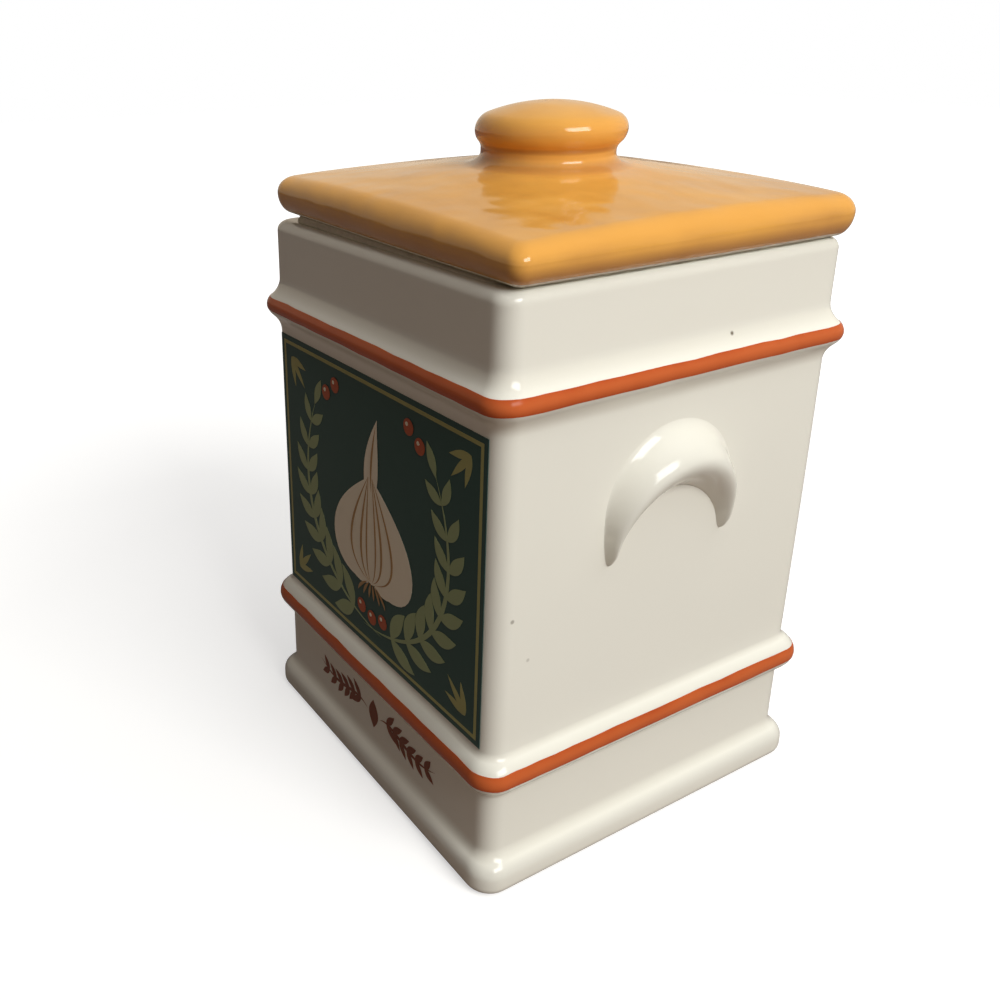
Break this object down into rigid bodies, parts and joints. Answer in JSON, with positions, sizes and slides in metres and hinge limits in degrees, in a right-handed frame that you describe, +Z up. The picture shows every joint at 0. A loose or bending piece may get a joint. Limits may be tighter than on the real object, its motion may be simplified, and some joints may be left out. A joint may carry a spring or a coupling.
{
  "type": "spice jar",
  "caption": "Square glazed ceramic spice jar with a moulded foot and beads, crescent lug handles on two sides, a printed front panel and a lift-off lid with a round knob.",
  "frame": {"origin": "middle of the jar's foot, on the table", "axes": "+Z up through the knob, the printed panel faces -Y, the lug handles are on +X and -X"},
  "size_m": [0.064, 0.0598, 0.0977],
  "materials": {
    "white_glaze": "glossy warm off-white glaze",
    "amber_glaze": "glossy amber yellow glaze",
    "orange_enamel": "fired orange-red enamel",
    "green_print": "fired dark green print",
    "brown_print": "fired brown print",
    "seal_rubber": "translucent pale silicone"
  },
  "bodies": {
    "jar": {"jar_body": "white_glaze", "right_lug": "white_glaze", "left_lug": "white_glaze", "upper_band": "orange_enamel", "lower_band": "orange_enamel", "front_decal": "green_print", "plinth_decal": "brown_print"},
    "lid": {"lid": "amber_glaze", "lid_seal": "seal_rubber"}
  },
  "joints": [
    {"name": "lid_lift", "type": "slide", "parent": "jar", "child": "lid", "axis": [0, 0, 1], "range_m": [0, 0.08]}
  ]
}
